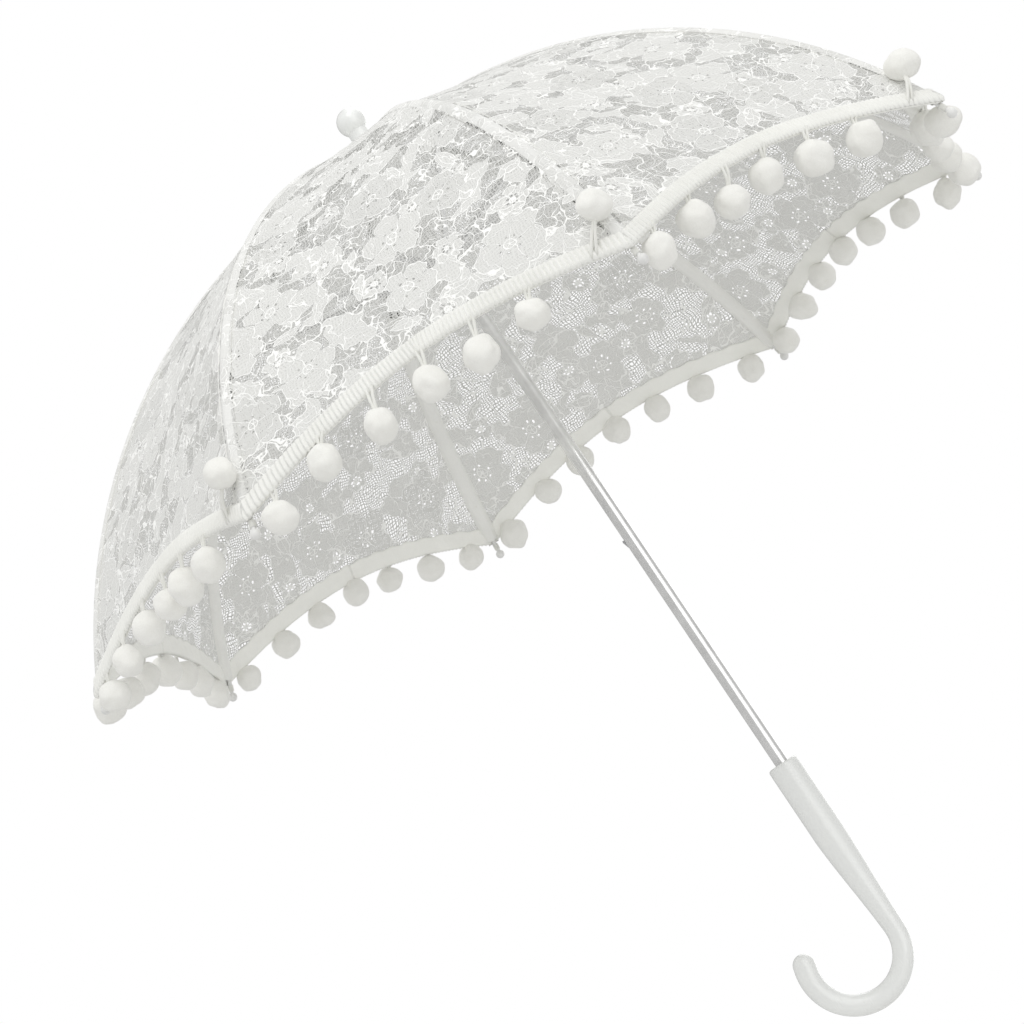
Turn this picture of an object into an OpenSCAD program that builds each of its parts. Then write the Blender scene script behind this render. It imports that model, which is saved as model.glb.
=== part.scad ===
// Small lace parasol: eight curved ribs on a slim steel shaft with a crook handle.
// The shaft stands along +Z, and the origin is on its axis, inside the handle's straight grip.

/* [Canopy] */
// Radius of the ball shape that the open canopy follows
dome_r = 328; // [300:1:360]
// Height of that ball's centre above the origin
dome_z = 127; // [120:1:140]
// Angle from the top of the dome down to the rib tips
rim_a = 66.3; // [60:0.1:70]
// How far the edge draws in between two ribs, as a share of the rib's length
scallop = 0.06; // [0.02:0.01:0.1]
// Thickness of the lace as a solid
lace_t = 1; // [0.8:0.1:1.5]
// Azimuth of the first rib
rib_phase = 15; // [0:1:44]

/* [Trim] */
// Width of the braid along the edge
braid_w = 10; // [6:0.5:12]
// Thickness of the braid
braid_t = 1.6; // [1:0.1:2.5]
// Radius of a pom-pom
pom_r = 9.3; // [6:0.1:11]
// Distance from the edge to a pom-pom's centre
pom_drop = 17; // [14:0.5:24]
// Lean of the pom-poms from straight down, towards -X
pom_lean = 18; // [0:1:30]
// Pom-poms along one gore
poms_per_gore = 7; // [5:2:7]

/* [Frame] */
// Radius of the rib wire
rib_wire_r = 1.2; // [0.8:0.1:1.3]
// Radius of the circle that the rib and stretcher pivots lie on
pivot_r = 7.6; // [7:0.1:8]
// Length of a stretcher, and distance of its joint from the rib's pivot
stretcher_l = 150; // [120:1:160]
// Radius of the bead on a rib's tip
bead_r = 2.8; // [2:0.1:3]

/* [Shaft and handle] */
// Radius of the shaft tube
shaft_r = 4; // [3.5:0.05:4.2]
// Wall of the shaft tube
shaft_wall = 0.6; // [0.4:0.1:1]
// Radius of the finial ball
finial_r = 8.7; // [6:0.1:12]
// Height of the finial ball's centre
finial_z = 474.5; // [470:0.5:480]
// Height of the handle's top face
grip_top = 34; // [30:1:40]
// Height of the lower end of the handle's straight grip
grip_low = -14; // [-40:1:-8]
// Radius of the handle's straight grip
grip_r = 9.2; // [7:0.1:10]
// Radius of the crook's bend, along its middle
crook_r = 27.2; // [24:0.1:32]
// Height of the middle of the crook's bend
crook_z = -74.4; // [-80:0.1:-70]
// How far beyond the shaft's axis, towards +X, the crook's bend starts
crook_x = 0.9; // [0:0.1:3]
// Radius of the handle in the bend
crook_wall_r = 5.8; // [5:0.1:6.5]
// Radius of the handle at its free end
crook_end_r = 6.4; // [5.5:0.1:7]

/* [Hidden] */
GORES = 8;
step_a = 360 / GORES;
half_a = step_a / 2;
rib_arc_r = dome_r - 3;
root_a = asin(pivot_r / rib_arc_r);
pivot_z = dome_z + rib_arc_r * cos(root_a);
joint_a = root_a + 2 * asin(stretcher_l / 2 / rib_arc_r);
joint_x = rib_arc_r * sin(joint_a);
joint_z = dome_z + rib_arc_r * cos(joint_a);
runner_z = 2 * joint_z - pivot_z;
stretcher_a = atan2(joint_z - runner_z, joint_x - pivot_r);
crown_a = 2.6;
hem_a = rim_a - 1.3;
runner_drop = 199;
runner_tail = 32;
catch_azimuth = 172.5;
catch_h = 5;
catch_out = 1.1;
hub_r = 9.5;
hub_h = 7.5;
core_r = 5.4;
slot_w = 3.2;
ring_wire_r = 0.6;
eye_r = 1.8;
eye_l = 2.6;
eye_bore = 0.8;
shaft_low = grip_top - 44;
shaft_top = finial_z - 4;
upper_catch_z = runner_z - runner_tail - 0.4 - catch_h;
lower_catch_z = runner_z - runner_drop + hub_h / 2 + 0.4;
braid_gap = 0.4;
string_r = 0.6;
string_gap = 2;
pom_step = 2 * half_a / poms_per_gore;
side_poms = (poms_per_gore - 1) / 2;
fork_gap = 1.75;
fork_wall = 0.8;
fork_from = stretcher_l - 28;
bend_turn = 195;
end_run = 3;
taper_top = grip_low + 1;
taper_r = grip_r - 0.1;
TAPER_RINGS = 8;
BEND_RINGS = 30;
END_RINGS = 1;
TIP_RINGS = 6;

white = [0.93, 0.93, 0.9];
lace_colour = [0.9, 0.9, 0.87, 1];
steel = [0.78, 0.79, 0.8];

FRAME_NODES = ["shaft_tube", "handle", "finial", "crown_cap", "top_notch", "notch_wire",
               "runner", "runner_wire", "upper_catch", "lower_catch"];
RIB_NODES = [for (i = [1:GORES]) str("rib_", i)];
STRETCHER_NODES = [for (i = [1:GORES]) str("stretcher_", i)];
LACE_NODES = [for (i = [1:GORES]) for (s = ["a", "b"]) str("lace_", i, s)];
TRIM_NODES = [for (i = [1:GORES]) for (s = ["a", "b"]) str("trim_", i, s)];

// Azimuth of rib i, counted from 1
function rib_azimuth(i) = rib_phase + (i - 1) * step_a;

// A point of the canopy: polar angle a, azimuth f from the middle of the gore, ball radius r
function gore_point(a, f, r) =
    let (q = r * sin(a) * cos(half_a) / cos(f))
    [q * cos(f), q * sin(f), dome_z + r * cos(a)];

// Polar angle of the edge at azimuth f from the middle of the gore
function edge_angle(f) = hem_a * (1 - scallop * (1 - pow(f / half_a, 2)));

// The crook's path in the XZ plane, each point as [x, z, turn, radius], t running from 0 to 1
function ease(t) = t / 2 + t * t * (1.5 - t);
function taper_point(t) =
    [crook_x * ease(t), taper_top + (crook_z - taper_top) * t, 0,
     taper_r - (taper_r - crook_wall_r) * ease(t)];
function bend_point(t) =
    let (g = bend_turn * t)
    [crook_x - crook_r + crook_r * cos(g), crook_z - crook_r * sin(g), g,
     crook_wall_r + (crook_end_r - crook_wall_r) * t];
function end_point(t) =
    let (b = bend_point(1), d = end_run * t)
    [b[0] - d * sin(bend_turn), b[1] - d * cos(bend_turn), bend_turn, crook_end_r];
function tip_point(t) =
    let (e = end_point(1), g = 84 * t, d = crook_end_r * sin(g))
    [e[0] - d * sin(bend_turn), e[1] - d * cos(bend_turn), bend_turn, crook_end_r * cos(g)];
CROOK_PATH = concat([for (k = [0:TAPER_RINGS - 1]) taper_point(k / TAPER_RINGS)],
                    [for (k = [0:BEND_RINGS]) bend_point(k / BEND_RINGS)],
                    [for (k = [1:END_RINGS]) end_point(k / END_RINGS)],
                    [for (k = [1:TIP_RINGS]) tip_point(k / TIP_RINGS)]);

// Azimuth f kept a sixth of a millimetre off a gore's middle and its ribs
function clear_azimuth(a, f) =
    let (gap = 9 / (dome_r * sin(a)))
    min(max(f, gap), half_a - gap);

// A closed skin over a grid of cells by rings quads, between two lists of points
module skin(outer, inner, cells, rings) {
    n = (cells + 1) * (rings + 1);
    function at(i, j) = i * (rings + 1) + j;
    top = [for (i = [0:cells - 1]) for (j = [0:rings - 1])
           [at(i, j), at(i, j + 1), at(i + 1, j + 1), at(i + 1, j)]];
    bottom = [for (i = [0:cells - 1]) for (j = [0:rings - 1])
              [n + at(i, j), n + at(i + 1, j), n + at(i + 1, j + 1), n + at(i, j + 1)]];
    low = [for (j = [0:rings - 1]) [at(0, j), n + at(0, j), n + at(0, j + 1), at(0, j + 1)]];
    high = [for (j = [0:rings - 1])
            [at(cells, j), at(cells, j + 1), n + at(cells, j + 1), n + at(cells, j)]];
    near = [for (i = [0:cells - 1]) [at(i, 0), at(i + 1, 0), n + at(i + 1, 0), n + at(i, 0)]];
    far = [for (i = [0:cells - 1])
           [at(i, rings), n + at(i, rings), n + at(i + 1, rings), at(i + 1, rings)]];
    polyhedron(concat(inner, outer), concat(top, bottom, low, high, near, far));
}

// Half of a gore between two polar angles, lying between two ball radii, on the +Y side
module half_gore(cells, rings, start, r_out, r_in) {
    function ring_angle(f, j) = start(f) + (edge_angle(f) - start(f)) * j / rings;
    function layer(r) = [for (i = [0:cells]) for (j = [0:rings])
        let (f = half_a * i / cells, a = ring_angle(f, j))
        gore_point(a, clear_azimuth(a, f), r)];
    skin(layer(r_out), layer(r_in), cells, rings);
}

// Puts a half gore beside rib i: side "a" follows the rib, side "b" comes before it
module place_half(i, side) {
    turn = rib_azimuth(i) + (side == "a" ? half_a : -half_a);
    rotate([0, 0, turn])
        mirror([0, side == "a" ? 1 : 0, 0])
            children();
}

module lace(i, side) {
    color(lace_colour)
        place_half(i, side)
            half_gore(4, 12, function (f) crown_a, dome_r, dome_r - lace_t);
}

// Braid along the edge, with the pom-poms that hang from it on strings
module trim(i, side) {
    inner = dome_r + braid_gap;
    braid_a = asin(braid_w / dome_r);
    turn = rib_azimuth(i) + (side == "a" ? half_a : -half_a);
    sign = side == "a" ? -1 : 1;
    color(white)
        place_half(i, side)
            half_gore(6, 1, function (f) edge_angle(f) - braid_a, inner + braid_t, inner);
    color(white)
        for (j = [side == "a" ? 0 : 1 : side_poms])
            let (f = sign * j * pom_step,
                 a = edge_angle(abs(f)),
                 p = gore_point(a, f, inner + braid_t / 2),
                 x = p[0] * cos(turn) - p[1] * sin(turn),
                 y = p[0] * sin(turn) + p[1] * cos(turn))
                translate([x, y, p[2]])
                    rotate([0, pom_lean, 0])
                        pom();
}

// One pom-pom on its string, hanging just below the origin
module pom() {
    translate([0, 0, -pom_drop])
        sphere(r = pom_r, $fn = 32);
    translate([0, 0, -pom_drop + pom_r / 2])
        cylinder(r = string_r, h = pom_drop - pom_r / 2 - string_gap, $fn = 16);
}

// A ring of wire round the shaft's axis
module wire_ring(z) {
    color(steel)
        translate([0, 0, z])
            rotate_extrude($fn = 64)
                translate([pivot_r, 0])
                    circle(r = ring_wire_r, $fn = 16);
}

// A hub with a radial slot for each rib or stretcher, and a channel for its ring of wire
module hub(bore) {
    difference() {
        translate([0, 0, -hub_h / 2])
            cylinder(r = hub_r, h = hub_h, $fn = 64);
        translate([0, 0, -hub_h])
            cylinder(r = bore, h = 2 * hub_h, $fn = 64);
        for (i = [1:GORES])
            rotate([0, 0, rib_azimuth(i)])
                translate([core_r, -slot_w / 2, -hub_h])
                    cube([hub_r, slot_w, 2 * hub_h]);
        rotate_extrude($fn = 64)
            translate([pivot_r, 0])
                circle(r = ring_wire_r + 0.02, $fn = 16);
    }
}

// An eye round a ring of wire, its hole along Y, at the origin
module eye() {
    rotate([90, 0, 0])
        difference() {
            cylinder(r = eye_r, h = eye_l, center = true, $fn = 32);
            cylinder(r = eye_bore, h = 2 * eye_l, center = true, $fn = 32);
        }
}

module rib(i) {
    color(white)
        rotate([0, 0, rib_azimuth(i)]) {
            difference() {
                translate([0, 0, dome_z])
                    rotate([90, 0, 0])
                        rotate([0, 0, 90 - rim_a])
                            rotate_extrude(angle = rim_a - root_a, $fn = 240)
                                translate([rib_arc_r, 0])
                                    circle(r = rib_wire_r, $fn = 16);
                translate([pivot_r, 0, pivot_z])
                    rotate([90, 0, 0])
                        cylinder(r = eye_r - 0.3, h = 2 * eye_l, center = true, $fn = 32);
            }
            translate([pivot_r, 0, pivot_z])
                eye();
            translate([joint_x, 0, joint_z])
                rotate([90, 0, 0])
                    cylinder(r = 1.5, h = 3, center = true, $fn = 32);
            translate([rib_arc_r * sin(rim_a), 0, dome_z + rib_arc_r * cos(rim_a)])
                sphere(r = bead_r, $fn = 32);
        }
}

module stretcher(i) {
    color(steel)
        rotate([0, 0, rib_azimuth(i)])
            translate([pivot_r, 0, runner_z])
                rotate([0, -stretcher_a, 0]) {
                    eye();
                    translate([eye_r - 0.3, -1.2, -1.4])
                        cube([fork_from - eye_r + 2, 2.4, 2.8]);
                    translate([fork_from, -fork_gap - fork_wall, -1.4])
                        cube([3, 2 * (fork_gap + fork_wall), 2.8]);
                    for (y = [-fork_gap - fork_wall, fork_gap])
                        translate([fork_from + 2, y, -1.8])
                            cube([stretcher_l - fork_from - 1.4, fork_wall, 2.8]);
                }
}

module shaft_tube() {
    color(steel)
        difference() {
            translate([0, 0, shaft_low])
                cylinder(r = shaft_r, h = shaft_top - shaft_low, $fn = 64);
            translate([0, 0, shaft_low - 1])
                cylinder(r = shaft_r - shaft_wall, h = shaft_top - shaft_low - 1, $fn = 64);
            for (z = [upper_catch_z, lower_catch_z])
                rotate([0, 0, catch_azimuth])
                    translate([0, -1.2, z - 0.3])
                        cube([shaft_r + 1, 2.4, catch_h + 0.6]);
        }
}

module catch(z) {
    color(steel)
        rotate([0, 0, catch_azimuth])
            translate([1.9, 0.9, z])
                rotate([90, 0, 0])
                    linear_extrude(height = 1.8)
                        polygon([[0, 0], [shaft_r - 1.9, 0], [shaft_r + catch_out - 1.9, catch_h - 1.2],
                                 [shaft_r + catch_out - 1.9, catch_h], [0, catch_h]]);
}

// A tube of round rings along a path of [x, z, turn, radius] in the XZ plane
module crook_tube(path, sides) {
    rings = len(path);
    points = [for (p = path) for (k = [0:sides - 1])
        let (w = 360 * k / sides)
        [p[0] + p[3] * cos(w) * cos(p[2]), p[3] * sin(w), p[1] - p[3] * cos(w) * sin(p[2])]];
    sides_faces = [for (r = [0:rings - 2]) for (k = [0:sides - 1])
        let (m = (k + 1) % sides)
        [r * sides + k, r * sides + m, (r + 1) * sides + m, (r + 1) * sides + k]];
    start_cap = [[for (k = [0:sides - 1]) sides - 1 - k]];
    end_cap = [[for (k = [0:sides - 1]) (rings - 1) * sides + k]];
    polyhedron(points, concat(sides_faces, start_cap, end_cap));
}

module handle() {
    color(white) {
        difference() {
            union() {
                translate([0, 0, grip_low])
                    cylinder(r = grip_r, h = grip_top - 1 - grip_low, $fn = 64);
                translate([0, 0, grip_top - 1])
                    cylinder(r1 = grip_r, r2 = grip_r - 1, h = 1, $fn = 64);
            }
            translate([0, 0, shaft_low - 0.5])
                cylinder(r = shaft_r + 0.02, h = grip_top - shaft_low + 2, $fn = 64);
        }
        crook_tube(CROOK_PATH, 24);
    }
}

module finial() {
    color(white)
        difference() {
            union() {
                translate([0, 0, finial_z])
                    sphere(r = finial_r, $fn = 64);
                translate([0, 0, dome_z + dome_r + 5.2])
                    cylinder(r = shaft_r + 2, h = 9, $fn = 64);
            }
            translate([0, 0, shaft_top - 30])
                cylinder(r = shaft_r + 0.02, h = 30, $fn = 64);
        }
}

// Shallow cone over the hole in the middle of the lace
module crown_cap() {
    base = dome_z + dome_r + 0.9;
    color(white)
        difference() {
            translate([0, 0, base])
                cylinder(r1 = 17, r2 = shaft_r + 2.5, h = 4.1, $fn = 64);
            translate([0, 0, base - 1])
                cylinder(r = shaft_r + 0.02, h = 8, $fn = 64);
        }
}

module top_notch() {
    color(white)
        translate([0, 0, pivot_z])
            hub(shaft_r + 0.02);
}

module notch_wire() {
    wire_ring(pivot_z);
}

module runner() {
    color(white)
        difference() {
            translate([0, 0, runner_z])
                union() {
                    hub(shaft_r + 0.08);
                    translate([0, 0, -runner_tail])
                        difference() {
                            cylinder(r = core_r + 1.4, h = runner_tail - hub_h / 2, $fn = 64);
                            translate([0, 0, -1])
                                cylinder(r = shaft_r + 0.08, h = runner_tail + 2, $fn = 64);
                        }
                }
            rotate([0, 0, catch_azimuth])
                translate([0, -1.3, runner_z - runner_tail - 1])
                    cube([shaft_r + catch_out + 0.4, 2.6, runner_tail + hub_h + 2]);
        }
}

module runner_wire() {
    wire_ring(runner_z);
}

module upper_catch() {
    catch(upper_catch_z);
}

module lower_catch() {
    catch(lower_catch_z);
}

shaft_tube();
handle();
finial();
crown_cap();
top_notch();
notch_wire();
runner();
runner_wire();
upper_catch();
lower_catch();
for (i = [1:GORES]) {
    rib(i);
    stretcher(i);
    for (s = ["a", "b"]) {
        lace(i, s);
        trim(i, s);
    }
}
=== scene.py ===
"""Lace parasol: its lace, hem, braid, pom-poms and handle, with materials, lights and camera."""
import math
import random
import bmesh
import bpy
from mathutils import Matrix, Vector, noise


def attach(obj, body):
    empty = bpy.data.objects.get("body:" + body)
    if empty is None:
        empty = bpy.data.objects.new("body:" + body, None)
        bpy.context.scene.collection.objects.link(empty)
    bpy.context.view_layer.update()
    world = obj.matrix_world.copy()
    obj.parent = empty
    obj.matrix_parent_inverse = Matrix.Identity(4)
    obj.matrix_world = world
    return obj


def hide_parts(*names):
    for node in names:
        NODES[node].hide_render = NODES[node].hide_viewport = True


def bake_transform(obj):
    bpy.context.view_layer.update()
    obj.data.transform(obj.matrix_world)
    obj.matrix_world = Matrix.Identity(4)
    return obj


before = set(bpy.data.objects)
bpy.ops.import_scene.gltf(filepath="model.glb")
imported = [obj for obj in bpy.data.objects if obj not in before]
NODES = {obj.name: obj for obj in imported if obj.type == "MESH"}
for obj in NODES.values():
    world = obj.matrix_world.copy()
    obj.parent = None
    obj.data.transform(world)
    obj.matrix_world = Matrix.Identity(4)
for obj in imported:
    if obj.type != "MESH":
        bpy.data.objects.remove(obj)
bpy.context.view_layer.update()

TURN = 2 * math.pi
MM = 1000

# Canopy, in metres and radians, as in the CAD
GORES = 8
HALF = math.radians(180 / GORES)
RIB_PHASE = math.radians(15)
DOME_R = 0.328
DOME_Z = 0.127
RIM_A = math.radians(66.3)
HEM_A = math.radians(65.0)
CROWN_A = math.radians(2.0)
SCALLOP = 0.06
RIB_R = DOME_R - 0.003
RIM_R = 0.3
SIDES = {"a": 1, "b": -1}

# Cloth between two ribs: how far it pulls in, its folds with their size in millimetres across and
# down, and a width out from the rib
PULL_IN = 0.0022
BROAD_FOLD = 0.0009
FINE_FOLD = 0.00045
BROAD_SIZE = (40, 120)
FINE_SIZE = (7, 90)
FOLD_FROM = 0.0005
FOLD_W = 0.085

# Sewing along the ribs
SLOPE = math.tan(HALF) * 0.96
SEAM_HALF = 0.0038
SEAM_TUCK = 0.0004
SEAM_RISE = 0.0011
CASING_HALF = 0.0052
CASING_DEPTH = 0.0046
CASING_LIFT = 0.0001
CASING_FROM = math.radians(32)
CASING_TO = HEM_A - math.radians(0.6)

# How far apart two gores, and two strips, are cut from the patterned lace
GORE_CUT = 0.31
STRIP_CUT = 0.07

# Thread ties on a rib: (share of the rib's angle, turns)
TIES = ((0.24, 2), (0.50, 3), (0.72, 2), (0.90, 2), (0.985, 7))
TIE_STEPS = 14
TIE_PITCH = 0.00055
TIE_R = 0.00155
TIE_THREAD = 0.00028

# Braid and hem
BRAID_W = 0.0105
BRAID_FOOT = 0.0003
BRAID_TOP = 0.0007
BRAID_BODY = 0.0004
BRAID_RIDGE = 0.0016
BRAID_SLANT = 0.55
BRAID_SCALLOP = 0.0028
RIDGE_PITCH = 0.0027
HEM_W = 0.0115
HEM_GAP = 0.0002
HEM_THIN = 0.0004
HEM_FULL = 0.0009
HEM_PUCKER = 0.0005
HEM_RIPPLE = 0.00022

# Pom-poms and their strings
POM_R = 0.0087
POM_LUMPS = ((1.3, 0.14), (2.9, 0.022), (11, 0.008))
POM_DROP = 0.017
FAR_DROP = 0.009
POM_LEAN = math.radians(18)
POM_SWING = 8
POMS_PER_GORE = 7
RISEN_POMS = {(6, "b"), (7, "b"), (8, "b")}
RISEN_SHIFT = 1.14
RISEN_UP = 0.062
RISEN_BOW = 0.002
HOOK_UP = 0.004
HOOK_OUT = 0.0012
STRING_R = 0.00085
STRING_END_R = 0.0011
STRING_STEPS = 8
STRING_BOW = 0.0012

# Handle
GRIP_TOP = 0.034
GRIP_LOW = -0.013
GRIP_R = 0.0092
CROOK_R = 0.0272
CROOK_X = 0.0009
CROOK_Z = -0.0744
CROOK_WALL = 0.0058
CROOK_END = 0.0064
BEND_TURN = math.radians(195)
END_RUN = 0.003
LIP_ROUND = 0.0011
GRIP_STEPS = 12
NECK_STEPS = 20
BEND_STEPS = 48
END_STEPS = 10
END_ROUND = math.radians(88)

# Lace pattern, in millimetres
BIG_CELL = 50
BIG_R = 17.5
SMALL_CELL = 41
SMALL_R = 9.0
LEAF_CELL = 23
LEAF_L = 9.5
LEAF_W = 3.4
LEAF_SHARE = 0.45
SCROLL_CELL = 13.0
SCROLL_SHARE = 0.34
SCROLL_CORD = 0.28
TWIG_CELL = 9.0
TWIG_SHARE = 0.1
TWIG_CORD = 0.18
SWAY = 2.5
SCROLL_SWAY = 6.0
SCATTER = 0.55
SOFT = 0.15
SOFT_VEIN = 0.1

# Flowers: petals of the large and small ones, notches between petals and fine jags as shares of
# the radius, cords in millimetres, and the ring of eyelets round the heart
BIG_PETALS = 5
SMALL_PETALS = 6
FLOWER_SIZES = (0.8, 1.15)
NOTCH = 0.45
NOTCH_POWER = 0.55
JAGS = 17.0
JAG_DEPTH = 0.035
RIM_CORD = 0.34
VEIN_CORD = 0.12
PETAL_CORD = 0.2
RING_CORD = 0.32
RING_R = 0.17
EYELETS = 7
EYELET_RING = 0.3
EYELET_R = 0.6

# Leaves: half the cord round the edge and along the middle, in millimetres
LEAF_RIM = 0.28
LEAF_VEIN = 0.18

# Nets of the lace: (pitch in millimetres, looseness, half thread as a share of the pitch)
GROUND_NET = (1.75, 0.25, 0.145)
COARSE_NET = (1.25, 0.2, 0.25)
WEAVE_NET = (0.9, 0.4, 0.33)

# Lace colours
NET_DARK = (0.53, 0.53, 0.51)
NET_PALE = (0.68, 0.68, 0.655)
PETAL = (0.78, 0.78, 0.755)
CORD = (0.98, 0.98, 0.955)
DOUBLED = (0.90, 0.90, 0.875)

# Camera, from the fit
EYE = Vector((-0.0025, -1.658, -0.0066))
RIGHT = Vector((0.8299, 0.1023, -0.5485))
DOWN = Vector((-0.5573, 0.1048, -0.8236))
LENS = 104.6

# Light and floor
WORLD_LOW = 0.72
WORLD_HIGH = 1.22
KEY = 9
FILL = 2
BAND_COUNT = 3.0
BAND_SHIFT = 0.2
BAND_DARK = 0.5
BAND_LIGHT = 2.3
FLOOR_R = 0.5
FLOOR_Z = -0.25


# ---------- small mesh helpers ----------

def new_object(name, verts, faces, uv=None):
    """A mesh object; uv is one pair per vertex."""
    mesh = bpy.data.meshes.new(name)
    mesh.from_pydata([tuple(v) for v in verts], [], faces)
    if uv is not None:
        layer = mesh.uv_layers.new(name="cut")
        for loop in mesh.loops:
            layer.data[loop.index].uv = uv[loop.vertex_index]
    mesh.polygons.foreach_set("use_smooth", [True] * len(mesh.polygons))
    mesh.update()
    obj = bpy.data.objects.new(name, mesh)
    bpy.context.scene.collection.objects.link(obj)
    return obj


def grid_faces(cols, rows, start=0, flip=False):
    """Quads over cols by rows cells of points counted column by column."""
    faces = []
    for i in range(cols):
        for j in range(rows):
            k = start + i * (rows + 1) + j
            quad = (k, k + rows + 1, k + rows + 2, k + 1)
            faces.append(quad[::-1] if flip else quad)
    return faces


def tube(points, radii, sides):
    """Vertices and faces of a round tube along points, closed at its ends."""
    verts, faces = [], []
    last = None
    for k, p in enumerate(points):
        ahead = points[min(k + 1, len(points) - 1)] - points[max(k - 1, 0)]
        t = ahead.normalized()
        if last is None:
            last = t.orthogonal().normalized()
        u = (last - t * last.dot(t)).normalized()
        last = u
        w = t.cross(u)
        for s in range(sides):
            g = TURN * s / sides
            verts.append(p + (u * math.cos(g) + w * math.sin(g)) * radii[k])
    for k in range(len(points) - 1):
        for s in range(sides):
            m = (s + 1) % sides
            faces.append((k * sides + s, k * sides + m, (k + 1) * sides + m, (k + 1) * sides + s))
    faces.append(tuple(range(sides))[::-1])
    faces.append(tuple((len(points) - 1) * sides + s for s in range(sides)))
    return verts, faces


class Parts:
    """Collects several small meshes into one."""

    def __init__(self):
        self.verts, self.faces = [], []

    def add(self, verts, faces):
        base = len(self.verts)
        self.verts += verts
        self.faces += [tuple(base + k for k in f) for f in faces]

    def build(self, name):
        return new_object(name, self.verts, self.faces)


# ---------- canopy geometry ----------

def rib_azimuth(i):
    return RIB_PHASE + (i - 1) * 2 * HALF


def edge_angle(f):
    return HEM_A * (1 - SCALLOP * (1 - (f / HALF) ** 2))


def gore_point(turn, a, f, r):
    """A point of a gore whose middle is at azimuth turn."""
    q = r * math.sin(a) * math.cos(HALF) / math.cos(f)
    return Vector((q * math.cos(turn + f), q * math.sin(turn + f), DOME_Z + r * math.cos(a)))


def lateral(a, f):
    return DOME_R * math.sin(a) * math.cos(HALF) * math.tan(f)


def fold_depth(turn, a, f):
    """Soft pulls in the cloth: fine folds down the gore, none at its ribs."""
    calm = 1 - abs(f / HALF) ** 3
    x = lateral(a, f) * MM
    y = DOME_R * a * MM
    fine = noise.noise(Vector((x / FINE_SIZE[0], y / FINE_SIZE[1], turn * 9)))
    broad = noise.noise(Vector((x / BROAD_SIZE[0], y / BROAD_SIZE[1], turn * 5)))
    pull = math.sin(min(1.0, a / HEM_A) * math.pi)
    return calm * (BROAD_FOLD * broad + FINE_FOLD * fine) * (0.5 + pull) - PULL_IN * calm * pull


def gore_of(i, side):
    """(middle azimuth, sign) of the gore beside rib i; f at the rib is sign times HALF."""
    sign = SIDES[side]
    return rib_azimuth(i) + sign * HALF, -sign


def half_grid(i, side, cols, rows, low, high, height):
    """Points and cut coordinates of half a gore; low, high and height are functions."""
    turn, sign = gore_of(i, side)
    verts, uv = [], []
    for c in range(cols + 1):
        f = sign * HALF * (1 - c / cols)
        for r in range(rows + 1):
            t = r / rows
            a = low(f) + (high(f) - low(f)) * t
            verts.append(gore_point(turn, a, f, DOME_R + height(turn, a, f, t)))
            uv.append((lateral(a, f) + GORE_CUT * round(turn / (2 * HALF)), DOME_R * a))
    return verts, uv


def blend_flap(piece, i, side):
    """Bakes the piece's placement into its mesh, and works out a sideways span beside rib i."""
    rib = rib_azimuth(i)
    sign = SIDES[side]
    across = Vector((-math.sin(rib), math.cos(rib), 0)) * sign
    start, end = tuple(across * FOLD_FROM), tuple(across * FOLD_W)
    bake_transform(piece)
    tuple(start)
    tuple(end)


# ---------- material helpers ----------

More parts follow.
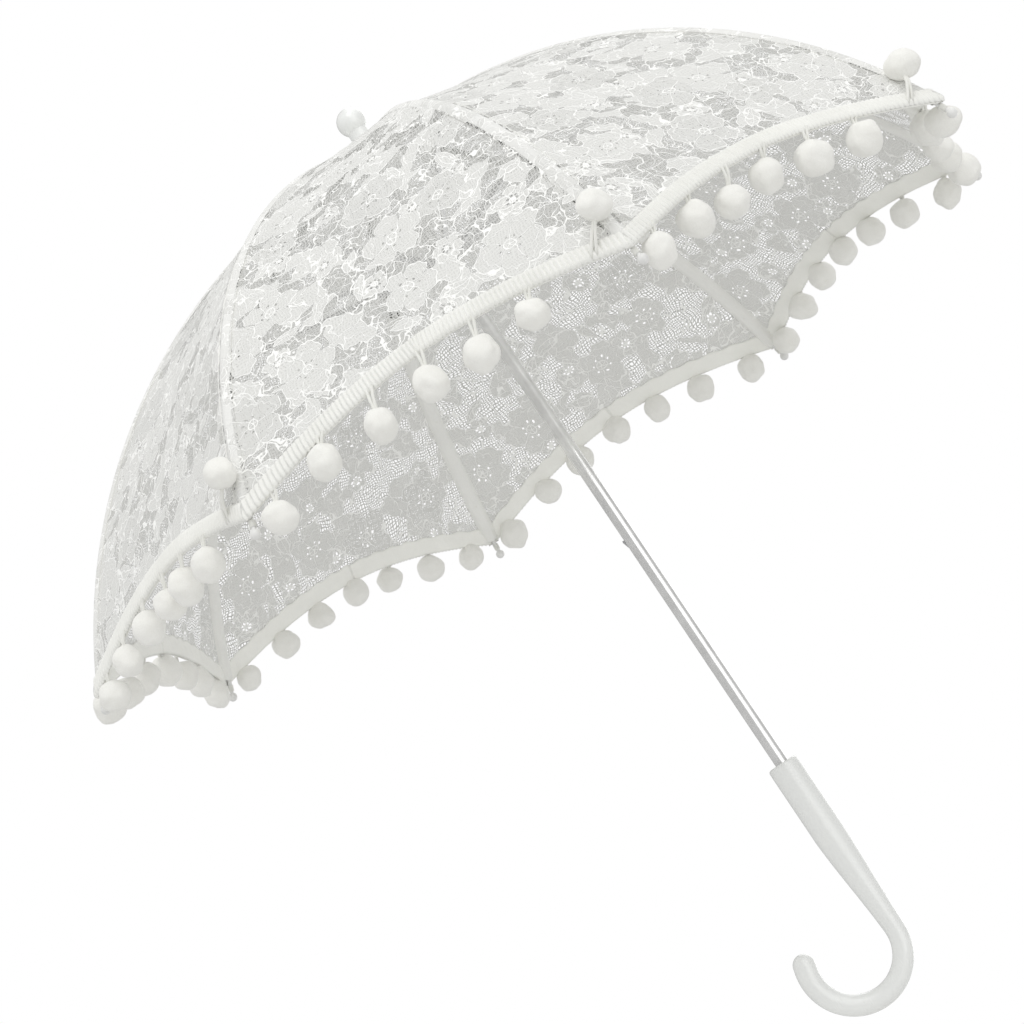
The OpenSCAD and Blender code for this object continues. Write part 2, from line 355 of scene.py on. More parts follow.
class Shader:
    """A material and short calls for its nodes."""

    def __init__(self, name):
        self.material = bpy.data.materials.new(name)
        self.material.use_nodes = True
        self.tree = self.material.node_tree
        self.bsdf = self.tree.nodes["Principled BSDF"]

    def put(self, socket, value):
        if isinstance(value, bpy.types.NodeSocket):
            self.tree.links.new(value, socket)
        else:
            socket.default_value = value

    def set(self, **values):
        for name, value in values.items():
            self.put(self.bsdf.inputs[name.replace("_", " ")], value)

    def node(self, kind, **settings):
        n = self.tree.nodes.new(kind)
        for k, v in settings.items():
            setattr(n, k, v)
        return n

    def math(self, op, *values):
        n = self.node("ShaderNodeMath", operation=op)
        for k, v in enumerate(values):
            self.put(n.inputs[k], v)
        return n.outputs[0]

    def vector(self, x, y):
        n = self.node("ShaderNodeCombineXYZ")
        for k, v in enumerate((x, y)):
            self.put(n.inputs[k], v)
        return n.outputs[0]

    def split(self, vector):
        n = self.node("ShaderNodeSeparateXYZ")
        self.put(n.inputs[0], vector)
        return n.outputs

    def place(self):
        return self.node("ShaderNodeTexCoord").outputs["Object"]

    def noise(self, vector, scale, detail=3.0, rough=0.55):
        n = self.node("ShaderNodeTexNoise")
        self.put(n.inputs["Vector"], vector)
        n.inputs["Scale"].default_value = scale
        n.inputs["Detail"].default_value = detail
        n.inputs["Roughness"].default_value = rough
        return n.outputs["Fac"]

    def stretch(self, vector, x, y, z):
        n = self.node("ShaderNodeVectorMath", operation="MULTIPLY")
        self.put(n.inputs[0], vector)
        n.inputs[1].default_value = (x, y, z)
        return n.outputs[0]

    def range(self, value, a, b, c, d):
        n = self.node("ShaderNodeMapRange")
        for k, v in enumerate((value, a, b, c, d)):
            self.put(n.inputs[k], v)
        return n.outputs[0]

    def below(self, value, limit, soft):
        """1 where value is under limit, falling to 0 over soft."""
        return self.range(value, self.math("ADD", limit, soft), limit, 0.0, 1.0)

    def most(self, *values):
        out = values[0]
        for v in values[1:]:
            out = self.math("MAXIMUM", out, v)
        return out

    def ramp(self, fac, low, high):
        n = self.node("ShaderNodeMix", data_type="RGBA")
        self.put(n.inputs["Factor"], fac)
        n.inputs["A"].default_value = (*low, 1)
        n.inputs["B"].default_value = (*high, 1)
        return n.outputs["Result"]

    def blend_colour(self, fac, under, over):
        """under where fac is 0, the fixed colour over where it is 1."""
        n = self.node("ShaderNodeMix", data_type="RGBA")
        self.put(n.inputs["Factor"], fac)
        self.put(n.inputs["A"], under)
        n.inputs["B"].default_value = (*over, 1)
        return n.outputs["Result"]

    def bump(self, height, distance, strength=1.0):
        n = self.node("ShaderNodeBump")
        self.put(n.inputs["Height"], height)
        n.inputs["Distance"].default_value = distance
        n.inputs["Strength"].default_value = strength
        self.put(self.bsdf.inputs["Normal"], n.outputs[0])


def lace_motif(s, x, y, cell, shift):
    """Local millimetres about the nearest motif's centre, with three random numbers for it."""
    point = s.vector(s.math("ADD", s.math("DIVIDE", x, cell), shift), s.math("DIVIDE", y, cell))
    v = s.node("ShaderNodeTexVoronoi", voronoi_dimensions="2D", feature="F1")
    v.inputs["Scale"].default_value = 1.0
    v.inputs["Randomness"].default_value = SCATTER
    s.put(v.inputs["Vector"], point)
    away = s.node("ShaderNodeVectorMath", operation="SUBTRACT")
    s.put(away.inputs[0], point)
    s.put(away.inputs[1], v.outputs["Position"])
    lx, ly, _ = s.split(away.outputs[0])
    rand = s.split(v.outputs["Color"])
    return s.math("MULTIPLY", lx, cell), s.math("MULTIPLY", ly, cell), rand


def lace_flower(s, x, y, cell, radius, petals, shift):
    """(inside, cord, eyelet, kind) of one scatter of flowers."""
    lx, ly, rand = lace_motif(s, x, y, cell, shift)
    r = s.math("SQRT", s.math("ADD", s.math("MULTIPLY", lx, lx), s.math("MULTIPLY", ly, ly)))
    angle = s.math("ADD", s.math("ARCTAN2", ly, lx), s.math("MULTIPLY", rand[0], TURN))
    wave = s.math("ABSOLUTE", s.math("COSINE", s.math("MULTIPLY", angle, petals / 2)))
    size = s.range(rand[1], 0.0, 1.0, *(radius * share for share in FLOWER_SIZES))
    ragged = s.math("SINE", s.math("MULTIPLY", angle, JAGS))
    jag = s.range(ragged, -1.0, 1.0, -JAG_DEPTH, JAG_DEPTH)
    lobe = s.math("MULTIPLY", s.math("POWER", wave, NOTCH_POWER), NOTCH)
    edge = s.math("MULTIPLY", size, s.math("ADD", lobe, s.math("ADD", jag, 1 - NOTCH)))
    depth = s.math("SUBTRACT", edge, r)
    inside = s.below(s.math("MULTIPLY", depth, -1.0), 0.0, SOFT)
    rim = s.below(s.math("ABSOLUTE", depth), RIM_CORD, SOFT)
    fan = s.math("SUBTRACT", s.math("MULTIPLY", depth, 0.55), s.math("MULTIPLY", wave, 3.0))
    vein = s.below(s.math("ABSOLUTE", fan), VEIN_CORD, SOFT_VEIN)
    across = s.math("MULTIPLY", s.math("MULTIPLY", r, wave), 2 / petals)
    between = s.below(across, PETAL_CORD, 0.12)
    ring = s.below(s.math("ABSOLUTE", s.math("SUBTRACT", r, radius * RING_R)), RING_CORD, SOFT)
    turn = s.math("FRACT", s.math("MULTIPLY", angle, EYELETS / TURN))
    pitch = TURN / EYELETS * radius * EYELET_RING
    off = s.math("MULTIPLY", s.math("SUBTRACT", turn, 0.5), pitch)
    out = s.math("SUBTRACT", r, radius * EYELET_RING)
    spot = s.math("SQRT", s.math("ADD", s.math("MULTIPLY", off, off), s.math("MULTIPLY", out, out)))
    eyelet = s.below(spot, EYELET_R, 0.2)
    drawn = s.math("MULTIPLY", s.most(between, s.math("MULTIPLY", vein, 0.7)), inside)
    return inside, s.most(rim, drawn, ring), eyelet, rand[2]


def lace_leaf(s, x, y, cell, length, width, shift, keep):
    """(inside, cord) of one scatter of leaves; keep is the share of cells that hold one."""
    lx, ly, rand = lace_motif(s, x, y, cell, shift)
    angle = s.math("MULTIPLY", rand[0], TURN)
    co, si = s.math("COSINE", angle), s.math("SINE", angle)
    u = s.math("ADD", s.math("MULTIPLY", lx, co), s.math("MULTIPLY", ly, si))
    v = s.math("SUBTRACT", s.math("MULTIPLY", ly, co), s.math("MULTIPLY", lx, si))
    part = s.math("DIVIDE", u, length)
    wide = s.math("MULTIPLY", s.math("SUBTRACT", 1.0, s.math("MULTIPLY", part, part)), width)
    depth = s.math("SUBTRACT", wide, s.math("ABSOLUTE", v))
    here = s.below(rand[2], keep, 0.001)
    inside = s.math("MULTIPLY", s.below(s.math("MULTIPLY", depth, -1.0), 0.0, SOFT), here)
    rim = s.math("MULTIPLY", s.below(s.math("ABSOLUTE", depth), LEAF_RIM, SOFT), here)
    vein = s.math("MULTIPLY", s.below(s.math("ABSOLUTE", v), LEAF_VEIN, SOFT_VEIN), inside)
    return inside, s.most(rim, vein)


def cells(s, x, y, pitch, loose, feature):
    """A Voronoi pattern of cells about pitch millimetres across."""
    v = s.node("ShaderNodeTexVoronoi", voronoi_dimensions="2D", feature=feature)
    v.inputs["Scale"].default_value = 1.0
    v.inputs["Randomness"].default_value = loose
    s.put(v.inputs["Vector"], s.vector(s.math("DIVIDE", x, pitch), s.math("DIVIDE", y, pitch)))
    return v.outputs


def net(s, x, y, pitch, loose, thread):
    """1 on the threads of a net of about pitch millimetres."""
    return s.below(cells(s, x, y, pitch, loose, "DISTANCE_TO_EDGE")["Distance"], thread, 0.05)


def scrolls(s, x, y, pitch, share, cord):
    """(inside, cord) of wandering scrolls; share of the cells are worked, and each is corded."""
    worked = s.below(s.split(cells(s, x, y, pitch, 1.0, "F1")["Color"])[0], share, 0.001)
    edge = cells(s, x, y, pitch, 1.0, "DISTANCE_TO_EDGE")["Distance"]
    return worked, s.below(edge, cord / pitch, 0.2 / pitch)


def lace_material(name, doubled=False):
    """Floral lace on a net ground; doubled cloth is paler and lets nothing through."""
    s = Shader(name)
    uv = s.node("ShaderNodeUVMap", uv_map="cut").outputs[0]
    x, y, _ = s.split(s.stretch(uv, MM, MM, 0))
    sway_x, sway_y = s.noise(uv, 60.0, 2.0), s.noise(s.stretch(uv, 1, -1, 1), 60.0, 2.0)
    wave_x = s.math("ADD", x, s.range(sway_x, 0.25, 0.75, -SCROLL_SWAY, SCROLL_SWAY))
    wave_y = s.math("ADD", y, s.range(sway_y, 0.25, 0.75, -SCROLL_SWAY, SCROLL_SWAY))
    x = s.math("ADD", x, s.range(sway_x, 0.25, 0.75, -SWAY, SWAY))
    y = s.math("ADD", y, s.range(sway_y, 0.25, 0.75, -SWAY, SWAY))
    big, big_cord, big_eye, kind = lace_flower(s, x, y, BIG_CELL, BIG_R, BIG_PETALS, 0.0)
    small, small_cord, small_eye, _ = lace_flower(s, x, y, SMALL_CELL, SMALL_R, SMALL_PETALS, 7.3)
    leaf, leaf_cord = lace_leaf(s, x, y, LEAF_CELL, LEAF_L, LEAF_W, 3.1, LEAF_SHARE)
    scroll, scroll_cord = scrolls(s, wave_x, wave_y, SCROLL_CELL, SCROLL_SHARE, SCROLL_CORD)
    _, twig_cord = scrolls(s, wave_y, wave_x, TWIG_CELL, TWIG_SHARE, TWIG_CORD)
    ground = net(s, x, y, *GROUND_NET)
    coarse = net(s, x, y, *COARSE_NET)
    weave = net(s, x, y, *WEAVE_NET)
    no_big = s.math("SUBTRACT", 1.0, big)
    small_in = s.math("MULTIPLY", small, no_big)
    worked = s.math("MULTIPLY", s.most(leaf, scroll), no_big)
    petals = s.math("MULTIPLY", big, s.range(kind, 0.5, 0.54, 1.0, 0.0))
    open_petals = s.math("MULTIPLY", big, s.range(kind, 0.5, 0.54, 0.0, 1.0))
    closed = s.most(petals, small_in, worked)
    fill = s.most(s.math("MULTIPLY", closed, weave), s.math("MULTIPLY", open_petals, coarse))
    outer = s.most(small_cord, leaf_cord, scroll_cord, twig_cord)
    cord = s.most(big_cord, s.math("MULTIPLY", outer, no_big))
    thread = s.most(ground, fill, cord)
    tone = s.noise(uv, 700.0, 2.0)
    patch = s.noise(uv, 45.0, 1.0)
    threads = s.ramp(s.math("MULTIPLY", s.math("ADD", tone, patch), 0.5), NET_DARK, NET_PALE)
    if doubled:
        threads = s.ramp(tone, PETAL, DOUBLED)
    cloth = s.blend_colour(s.most(closed, s.math("MULTIPLY", open_petals, 0.6)), threads, PETAL)
    between = s.math("MULTIPLY", closed, s.math("SUBTRACT", 1.0, ground))
    cloth = s.blend_colour(s.math("MULTIPLY", between, 0.6), cloth, NET_PALE)
    height = s.math("ADD", cord, s.math("MULTIPLY", closed, 0.35))
    height = s.math("ADD", height, s.math("MULTIPLY", thread, 0.3))
    s.bump(height, 0.00025, 0.8)
    s.set(Base_Color=s.blend_colour(cord, cloth, CORD), Roughness=s.range(tone, 0.3, 0.7, 0.7, 0.9))
    if not doubled:
        eyes = s.most(s.math("MULTIPLY", big_eye, big), s.math("MULTIPLY", small_eye, small_in))
        s.set(Alpha=s.math("MULTIPLY", thread, s.math("SUBTRACT", 1.0, eyes)))
    s.bsdf.inputs["Sheen Weight"].default_value = 0.1
    s.bsdf.inputs["Specular IOR Level"].default_value = 0.2
    return s.material


def cloth_material(name, low, high, thread_scale, bump=0.0003, rough=0.8):
    """Matt spun thread with fine fibres."""
    s = Shader(name)
    where = s.place()
    fibre = s.noise(where, thread_scale, 4.0, 0.7)
    patch = s.noise(where, 60.0, 2.0)
    mixed = s.math("ADD", s.math("MULTIPLY", fibre, 0.6), s.math("MULTIPLY", patch, 0.4))
    s.bump(fibre, bump, 0.7)
    s.set(Base_Color=s.ramp(s.range(mixed, 0.3, 0.7, 0.0, 1.0), low, high),
          Roughness=s.range(fibre, 0.3, 0.7, rough - 0.08, rough + 0.1))
    s.bsdf.inputs["Sheen Weight"].default_value = 0.3
    s.bsdf.inputs["Specular IOR Level"].default_value = 0.2
    return s.material


def plastic_material(name, colour, rough, coat=0.0):
    """Moulded white plastic with faint haze and fine scratches."""
    s = Shader(name)
    where = s.place()
    haze = s.noise(where, 35.0, 3.0)
    scratch = s.noise(s.stretch(where, 900, 900, 60), 1.0, 3.0, 0.7)
    low = tuple(c * 0.965 for c in colour)
    worn = s.math("ADD", haze, s.math("MULTIPLY", scratch, 0.3))
    s.set(Base_Color=s.ramp(haze, low, colour),
          Roughness=s.range(worn, 0.4, 0.9, rough, rough + 0.12))
    s.bump(scratch, 0.00002, 0.5)
    s.bsdf.inputs["Coat Weight"].default_value = coat
    s.bsdf.inputs["Coat Roughness"].default_value = 0.12
    return s.material


def metal_material(name, colour, rough, streak=1.0, metallic=1.0):
    """Plated or coated metal with drawn streaks along Z."""
    s = Shader(name)
    where = s.place()
    streaks = s.noise(s.stretch(where, 1400, 1400, 18), 1.0, 3.0, 0.6)
    spots = s.noise(where, 120.0, 4.0, 0.65)
    low = tuple(c * 0.86 for c in colour)
    s.set(Base_Color=s.ramp(s.range(spots, 0.35, 0.7, 0.0, 1.0), low, colour), Metallic=metallic,
          Roughness=s.range(s.math("ADD", spots, s.math("MULTIPLY", streaks, streak)), 0.5, 1.4,
                            rough, rough * 1.6 + 0.02))
    s.bump(streaks, 0.00003, 0.4)
    return s.material


# ---------- camera ----------

def make_camera():
    data = bpy.data.cameras.new("camera")
    data.lens = LENS
    data.sensor_width = 36
    data.clip_end = 50
    camera = bpy.data.objects.new("camera", data)
    bpy.context.scene.collection.objects.link(camera)
    up = -DOWN.normalized()
    right = (RIGHT - up * RIGHT.dot(up)).normalized()
    back = right.cross(up)
    camera.matrix_world = Matrix((right, up, back)).transposed().to_4x4()
    camera.location = EYE
    bpy.context.scene.camera = camera
    return right, up, back


view_right, view_up, view_back = make_camera()

# ---------- materials ----------

LACE = lace_material("lace")
SEAM = lace_material("seam_lace", doubled=True)
CASING = cloth_material("casing_cloth", (0.86, 0.86, 0.83), (0.94, 0.94, 0.905), 1300.0)
BRAID = cloth_material("braid_thread", (0.83, 0.83, 0.79), (0.95, 0.95, 0.915), 1800.0)
TAPE = cloth_material("hem_tape", (0.93, 0.93, 0.885), (0.99, 0.99, 0.945), 900.0)
POM = cloth_material("pom_yarn", (0.86, 0.855, 0.805), (0.96, 0.955, 0.92), 1400.0, 0.0004, 0.86)
STRING = cloth_material("string_yarn", (0.80, 0.80, 0.75), (0.93, 0.93, 0.89), 2500.0)
GLOSS = plastic_material("gloss_white", (0.88, 0.89, 0.87), 0.2, 0.6)
SATIN = plastic_material("satin_white", (0.86, 0.86, 0.84), 0.35)
CHROME = metal_material("plated_tube", (0.99, 0.99, 0.98), 0.08, 0.2, 0.6)
WIRE = metal_material("bright_wire", (0.66, 0.66, 0.67), 0.25)
COATED = metal_material("coated_rib", (0.87, 0.87, 0.85), 0.38, 0.5, 0.0)
FLOOR = cloth_material("pale_floor", (0.79, 0.79, 0.78), (0.83, 0.83, 0.82), 30.0, 0.00005)
CHANNEL = metal_material("coated_channel", (0.78, 0.78, 0.78), 0.30, 1.0, 0.55)


def give(obj, material):
    obj.data.materials.clear()
    obj.data.materials.append(material)


def dress_nodes():
    """Better materials on the CAD nodes that stay as they are."""
    plain = {"shaft_tube": CHROME, "finial": GLOSS, "crown_cap": GLOSS, "top_notch": SATIN,
             "notch_wire": WIRE, "runner": SATIN, "runner_wire": WIRE,
             "upper_catch": WIRE, "lower_catch": WIRE}
    for i in range(1, GORES + 1):
        plain[f"rib_{i}"] = COATED
        plain[f"stretcher_{i}"] = CHANNEL
    for node, material in plain.items():
        mesh = NODES[node].data
        for k in range(max(1, len(mesh.materials))):
            if mesh.materials:
                mesh.materials[k] = material
            else:
                mesh.materials.append(material)


# ---------- canopy pieces ----------

def make_lace(i, side):
    """Half a gore of lace, from the crown to the hem."""
    cols, rows = 26, 84
    verts, uv = half_grid(i, side, cols, rows, lambda f: CROWN_A, edge_angle,
                          lambda turn, a, f, t: fold_depth(turn, a, f))
    obj = new_object(f"lace_sheet_{i}{side}", verts, grid_faces(cols, rows, flip=side == "a"), uv)
    give(obj, LACE)
    blend_flap(obj, i, side)
    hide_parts(f"lace_{i}{side}")
    return obj


def closed_strip(i, side, cols, rows, low, high, top, base):
    """A closed strip of cloth: a shaped top and a flat underside."""
    upper, uv = half_grid(i, side, cols, rows, low, high, top)
    under, uv2 = half_grid(i, side, cols, rows, low, high, base)
    n = len(upper)
    flip = side == "a"
    faces = grid_faces(cols, rows, flip=flip) + grid_faces(cols, rows, n, not flip)

    def at(c, r):
        return c * (rows + 1) + r

    rim = [at(c, 0) for c in range(cols)] + [at(cols, r) for r in range(rows)]
    rim += [at(c, rows) for c in range(cols, 0, -1)] + [at(0, r) for r in range(rows, 0, -1)]
    for k, a in enumerate(rim):
        b = rim[(k + 1) % len(rim)]
        quad = (a, n + a, n + b, b)
        faces.append(quad[::-1] if flip else quad)
    return upper + under, faces, uv + uv2


def make_braid(i, side):
    """Corded gimp braid along the outside of the edge."""
    width = BRAID_W / DOME_R
    ridges = round(DOME_R * math.sin(HEM_A) * HALF / RIDGE_PITCH)
    cols, rows = ridges * 6, 9

    def phase(f, t):
        return ridges * abs(f) / HALF + BRAID_SLANT * t

    def low(f):
        return edge_angle(f) - width

    def high(f):
        return edge_angle(f) + BRAID_SCALLOP * abs(math.sin(math.pi * phase(f, 1)))

    def top(turn, a, f, t):
        crown = math.sqrt(max(0.0, 1 - (2 * t - 1) ** 4))
        ridge = abs(math.sin(math.pi * phase(f, t)))
        return fold_depth(turn, a, f) + BRAID_TOP + crown * (BRAID_BODY + BRAID_RIDGE * ridge)

    def base(turn, a, f, t):
        return fold_depth(turn, a, f) + BRAID_FOOT

    verts, faces, uv = closed_strip(i, side, cols, rows, low, high, top, base)
    obj = new_object(f"braid_{i}{side}", verts, faces, uv)
    give(obj, BRAID)
    blend_flap(obj, i, side)
    return obj


def make_hem(i, side):
    """Folded hem tape inside the edge: thin at its top, puckered towards the rib tips."""
    width = HEM_W / DOME_R

    def ruck(f, t):
        near = abs(f / HALF) ** 4
        waves = math.sin(f * 420 + 2 * t) + 0.6 * math.sin(f * 270 - 3 * t)
        ripple = HEM_RIPPLE * math.sin(f * 190 + 4 * t)
        return (HEM_PUCKER * near * waves + ripple) * math.sin(math.pi * t)

    def inner(turn, a, f, t):
        depth = HEM_THIN + HEM_FULL * min(1.0, t / 0.6)
        return fold_depth(turn, a, f) - depth + ruck(f, t)

    def low(f):
        return edge_angle(f) - width * (1 + 0.05 * math.sin(f * 130))

    verts, faces, uv = closed_strip(i, side, 60, 8, low, edge_angle,
                                    lambda turn, a, f, t: fold_depth(turn, a, f) - HEM_GAP, inner)
    obj = new_object(f"hem_{i}{side}", verts, faces, uv)
    give(obj, TAPE)
    blend_flap(obj, i, side)
    return obj


def rib_frame(i):
    """Unit vectors outward and sideways at rib i."""
    az = rib_azimuth(i)
    return Vector((math.cos(az), math.sin(az), 0)), Vector((-math.sin(az), math.cos(az), 0))


def on_rib(outward, a, r):
    return outward * r * math.sin(a) + Vector((0, 0, DOME_Z + r * math.cos(a)))


def rib_strip(name, i, material, grid, span, half_width, height):
    """A strip of cloth along rib i, with the slope of the gores on its two sides.

    grid is its columns and rows, and span its first and last angle. half_width takes an angle, and
    height takes the place across the strip, from -1 to 1.
    """
    cols, rows = grid
    outward, across = rib_frame(i)
    verts, uv = [], []
    for c in range(cols + 1):
        part = 2 * c / cols - 1
        for r in range(rows + 1):
            a = span[0] + (span[1] - span[0]) * r / rows
            off = part * half_width(a)
            drop = across * off - outward * abs(off) * SLOPE
            verts.append(on_rib(outward, a, DOME_R + height(part)) + drop)
            uv.append((off + STRIP_CUT * i, DOME_R * a))
    obj = new_object(name, verts, grid_faces(cols, rows), uv)
    give(obj, material)
    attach(obj, f"rib_{i}")


def make_seam(i):
    """Doubled lace outside, where two gores are sewn together along a rib."""
    rib_strip(f"seam_{i}", i, SEAM, (8, 90), (CROWN_A, HEM_A), lambda a: SEAM_HALF,
              lambda part: SEAM_RISE * (1 - part ** 2) - SEAM_TUCK)


def make_casing(i):
    """Strip of cloth inside, sewn over the rib from the stretcher's joint to the hem."""
    rib_strip(f"casing_{i}", i, CASING, (12, 70), (CASING_FROM, CASING_TO),
              lambda a: CASING_HALF * (1 + 0.06 * noise.noise(Vector((a * 18, i * 3, 0)))),
              lambda part: CASING_LIFT - CASING_DEPTH * (1 - part ** 2))


def make_ties(i):
    """Thread ties that hold the lace to the rib, and the whipping behind its bead."""
    outward, across = rib_frame(i)
    parts = Parts()
    for share, turns in TIES:
        a = share * RIM_A
        centre = on_rib(outward, a, RIB_R)
        along = outward * math.cos(a) + Vector((0, 0, -math.sin(a)))
        up = along.cross(across)
        points = []
        for k in range(turns * TIE_STEPS + 1):
            g = TURN * k / TIE_STEPS
            ring = (across * math.cos(g) + up * math.sin(g)) * TIE_R
            points.append(centre + along * TIE_PITCH * (k / TIE_STEPS - turns / 2) + ring)
        parts.add(*tube(points, [TIE_THREAD] * len(points), 6))
    obj = parts.build(f"ties_{i}")
    give(obj, STRING)
    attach(obj, f"rib_{i}")


# ---------- pom-poms ----------

def pom_ball(centre, axis, radius, rng):
    """A squashed ball of yarn with soft lumps, no two alike."""
    bm = bmesh.new()
    bmesh.ops.create_icosphere(bm, subdivisions=5, radius=1.0)
    turn = Vector((0, 0, 1)).rotation_difference(axis).to_matrix()
    spin = Matrix.Rotation(rng.uniform(0, TURN), 3, "Z")
    shape = Vector((rng.uniform(0.93, 1.12), rng.uniform(0.9, 1.02), rng.uniform(0.92, 1.12)))
    seed = rng.uniform(0, 50)
    verts = []
    for v in bm.verts:
        n = v.co.normalized()
        lump = sum(noise.noise(n * pitch + way * seed) * depth
                   for (pitch, depth), way in zip(POM_LUMPS, Matrix.Identity(3)))
        p = n * (1 + lump)
        squashed = Vector((p.x * shape.x, p.y * shape.y, p.z * shape.z))
        verts.append(centre + turn @ spin @ squashed * radius)
    faces = [tuple(v.index for v in f.verts) for f in bm.faces]
    bm.free()
    return verts, faces


def pom_strings(hook, along, tip, bow):
    """Two soft strands from the braid that meet on top of the pom-pom."""
    for lean in (-1, 1):
        start = hook + along * 0.0016 * lean
        end = tip + along * 0.0003 * lean
        points = [start.lerp(end, k / STRING_STEPS) + bow * math.sin(math.pi * k / STRING_STEPS)
                  for k in range(STRING_STEPS + 1)]
        radii = [STRING_R + 0.0001 * math.sin(k * 2.4 + lean) for k in range(STRING_STEPS)]
        radii.append(STRING_END_R)
        yield tube(points, radii, 8)


def make_poms(i, side):
    """The pom-poms and strings of half a gore, on the near side longer than on the far side."""
    turn, sign = gore_of(i, side)
    rng = random.Random(100 * i + ord(side))
    balls, strings = Parts(), Parts()
    step = 2 * HALF / POMS_PER_GORE
    first = 0 if side == "a" else 1
    for j in range(first, POMS_PER_GORE // 2 + 1):
        f = sign * j * step
        a = edge_angle(f)
        hook = gore_point(turn, a - HOOK_UP, f, DOME_R + HOOK_OUT)
        along = gore_point(turn, a, f + 0.01, DOME_R) - gore_point(turn, a, f - 0.01, DOME_R)
        along.normalize()
        far = 0.5 + 0.5 * hook.y / RIM_R
        lean = POM_LEAN + math.radians(rng.uniform(-POM_SWING, POM_SWING))
        swing = math.radians(rng.uniform(-POM_SWING, POM_SWING))
        down = Vector((-math.sin(lean), math.sin(swing), -math.cos(lean))).normalized()
        radius = POM_R * rng.uniform(0.94, 1.06)
        drop = (POM_DROP + (FAR_DROP - POM_DROP) * far) * rng.uniform(0.85, 1.2)
        centre = hook + down * drop
        bow = Vector((rng.uniform(-1, 1), rng.uniform(-1, 1), 0)) * STRING_BOW
        if j == POMS_PER_GORE // 2 and (i, side) in RISEN_POMS:
            centre = gore_point(turn, a - RISEN_UP, f * RISEN_SHIFT, DOME_R + radius * 1.02)
            down = (centre - hook).normalized()
            bow = (hook - Vector((0, 0, DOME_Z))).normalized() * RISEN_BOW
        balls.add(*pom_ball(centre, down, radius, rng))
        for strand in pom_strings(hook, along, centre - down * radius * 0.75, bow):
            strings.add(*strand)
    ball = balls.build(f"poms_{i}{side}")
    give(ball, POM)
    string = strings.build(f"strings_{i}{side}")
    give(string, STRING)
    for obj in (ball, string):
        blend_flap(obj, i, side)
    return ball


# ---------- handle ----------

def ease(t):
    """From 0 to 1, at half speed at first and at last."""
    return t / 2 + t * t * (1.5 - t)


def handle_path():
    """(point, radius) down the grip, round the bend and out to the rounded end."""
    lip = ((0, 0.0014), (0.0004, 0.0006), (LIP_ROUND, 0.0001))
    path = [(Vector((0, 0, GRIP_TOP - below)), GRIP_R - inset) for below, inset in lip]
    start = GRIP_TOP - LIP_ROUND
    for k in range(1, GRIP_STEPS):
        path.append((Vector((0, 0, start + (GRIP_LOW - start) * k / GRIP_STEPS)), GRIP_R))
    for k in range(NECK_STEPS):
        t = k / NECK_STEPS
        point = Vector((CROOK_X * ease(t), 0, GRIP_LOW + (CROOK_Z - GRIP_LOW) * t))
        path.append((point, GRIP_R - (GRIP_R - CROOK_WALL) * ease(t)))
    for k in range(BEND_STEPS + 1):
        g = BEND_TURN * k / BEND_STEPS
        x = CROOK_X - CROOK_R + CROOK_R * math.cos(g)
        point = Vector((x, 0, CROOK_Z - CROOK_R * math.sin(g)))
        path.append((point, CROOK_WALL + (CROOK_END - CROOK_WALL) * k / BEND_STEPS))
    out = Vector((-math.sin(BEND_TURN), 0, -math.cos(BEND_TURN)))
    end = path[-1][0] + out * END_RUN
    path.append((end, CROOK_END))
    for k in range(1, END_STEPS + 1):
        g = END_ROUND * k / END_STEPS
        path.append((end + out * CROOK_END * math.sin(g), CROOK_END * math.cos(g)))
    return path


def make_handle():
    """Grip and crook in one moulding."""
    path = handle_path()
    verts, faces = tube([p for p, _ in path], [r for _, r in path], 48)
    obj = new_object("handle_moulding", verts, faces)
    give(obj, GLOSS)
    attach(obj, "shaft")
    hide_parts("handle")


# ---------- lights ----------

def make_bands(nodes, links, direction):
    """A bright panel on the right of the shaft, as a plated tube mirrors a photo tent."""
    across = nodes.new("ShaderNodeVectorMath")
    across.operation = "DOT_PRODUCT"
    links.new(direction, across.inputs[0])
    across.inputs[1].default_value = view_right * 0.83 + view_up * 0.56
    previous = across.outputs["Value"]
    for operation, value in (("MULTIPLY", BAND_COUNT), ("ADD", BAND_SHIFT), ("SINE", 0)):
        step = nodes.new("ShaderNodeMath")
        step.operation = operation
        links.new(previous, step.inputs[0])
        step.inputs[1].default_value = value
        previous = step.outputs[0]
    ramp = nodes.new("ShaderNodeMapRange")
    for k, v in enumerate((0.1, 0.95, BAND_DARK, BAND_LIGHT)):
        ramp.inputs[k + 1].default_value = v
    links.new(previous, ramp.inputs[0])
    bands = nodes.new("ShaderNodeBackground")
    links.new(ramp.outputs[0], bands.inputs["Strength"])
    return bands


def make_floor():
    """A plain pale disc below the parasol."""
    steps = 96
    turns = [TURN * k / steps for k in range(steps)]
    rim = [Vector((FLOOR_R * math.cos(g), FLOOR_R * math.sin(g), FLOOR_Z)) for g in turns]
    floor = new_object("floor", rim, [tuple(range(steps))])
    floor.data.materials.append(FLOOR)


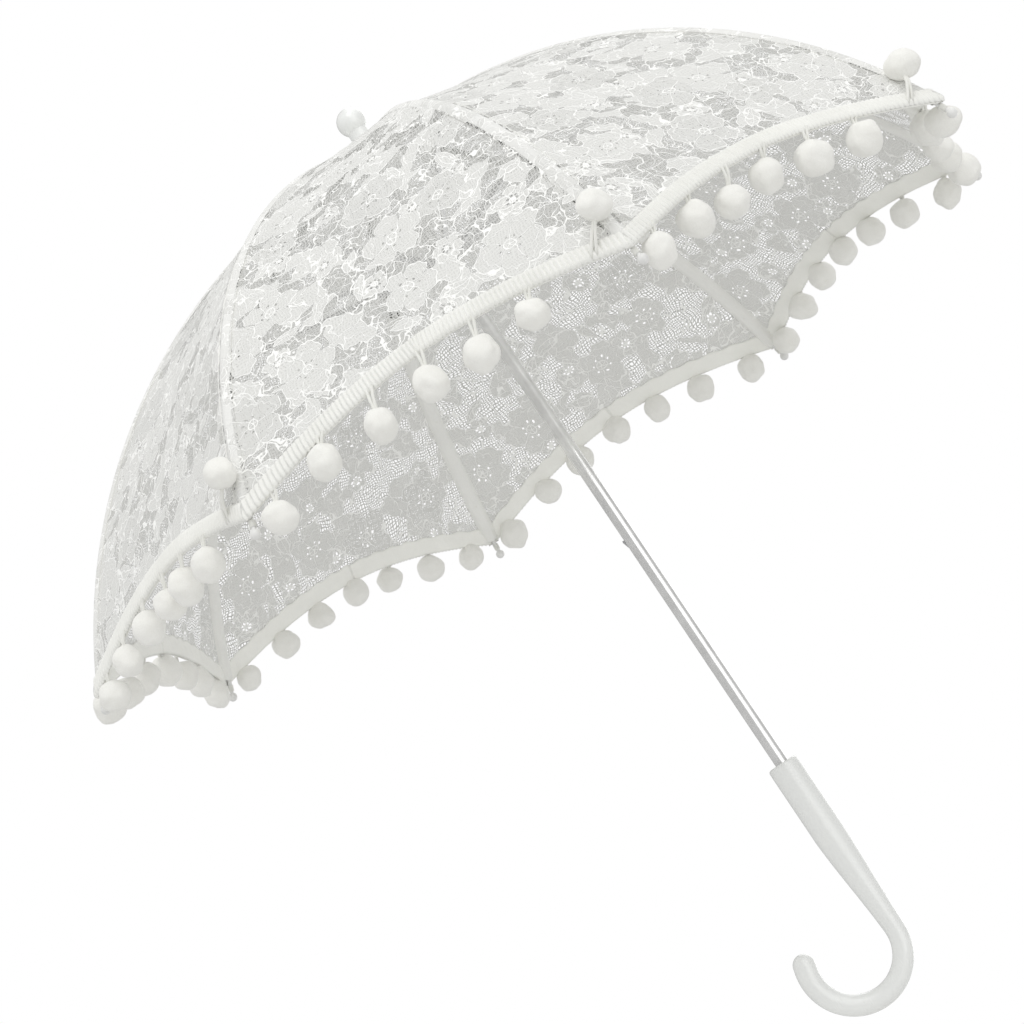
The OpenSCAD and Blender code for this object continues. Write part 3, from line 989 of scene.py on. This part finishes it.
def make_world():
    """White where the camera sees past the object; light from the upper left, dimmer from below."""
    world = bpy.data.worlds.new("studio")
    bpy.context.scene.world = world
    world.use_nodes = True
    nodes, links = world.node_tree.nodes, world.node_tree.links
    seen = nodes["Background"]
    seen.inputs["Color"].default_value = (1, 1, 1, 1)
    fill = nodes.new("ShaderNodeBackground")
    where = nodes.new("ShaderNodeTexCoord")
    dot = nodes.new("ShaderNodeVectorMath")
    dot.operation = "DOT_PRODUCT"
    links.new(where.outputs["Generated"], dot.inputs[0])
    bright = view_up * 0.75 - view_right * 0.5 + view_back * 0.45
    dot.inputs[1].default_value = bright.normalized()
    ramp = nodes.new("ShaderNodeMapRange")
    for k, v in enumerate((-1.0, 1.0, WORLD_LOW, WORLD_HIGH)):
        ramp.inputs[k + 1].default_value = v
    links.new(dot.outputs["Value"], ramp.inputs[0])
    links.new(ramp.outputs[0], fill.inputs["Strength"])
    path = nodes.new("ShaderNodeLightPath")
    bands = make_bands(nodes, links, where.outputs["Generated"])
    shiny = nodes.new("ShaderNodeMixShader")
    links.new(path.outputs["Is Glossy Ray"], shiny.inputs[0])
    links.new(fill.outputs[0], shiny.inputs[1])
    links.new(bands.outputs[0], shiny.inputs[2])
    mix = nodes.new("ShaderNodeMixShader")
    links.new(path.outputs["Is Camera Ray"], mix.inputs[0])
    links.new(shiny.outputs[0], mix.inputs[1])
    links.new(seen.outputs[0], mix.inputs[2])
    links.new(mix.outputs[0], nodes["World Output"].inputs[0])


def make_light(name, direction, distance, size, power):
    """A square soft light that faces the canopy from direction."""
    data = bpy.data.lights.new(name, "AREA")
    data.size = size
    data.energy = power
    light = bpy.data.objects.new(name, data)
    aim = Vector((0, 0, 0.3))
    light.location = aim + direction.normalized() * distance
    light.rotation_euler = direction.to_track_quat("Z", "Y").to_euler()
    bpy.context.scene.collection.objects.link(light)


def make_lights():
    make_light("key", view_up * 0.9 - view_right * 0.35 + view_back * 0.45, 2.2, 1.2, KEY)
    make_light("fill", view_right * 0.9 + view_back * 0.8 - view_up * 0.1, 2.4, 1.6, FILL)


def set_colours():
    """Colours as they are, with no film look."""
    view = bpy.context.scene.view_settings
    view.view_transform = "Standard"
    view.look = "None"
    view.exposure = 0.0


# ---------- build ----------

dress_nodes()
for i in range(1, GORES + 1):
    make_seam(i)
    make_casing(i)
    make_ties(i)
    for side in SIDES:
        sheet = make_lace(i, side)
        braid = make_braid(i, side)
        hem = make_hem(i, side)
        poms = make_poms(i, side)
        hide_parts(f"trim_{i}{side}")
make_handle()
make_floor()
make_world()
make_lights()
set_colours()
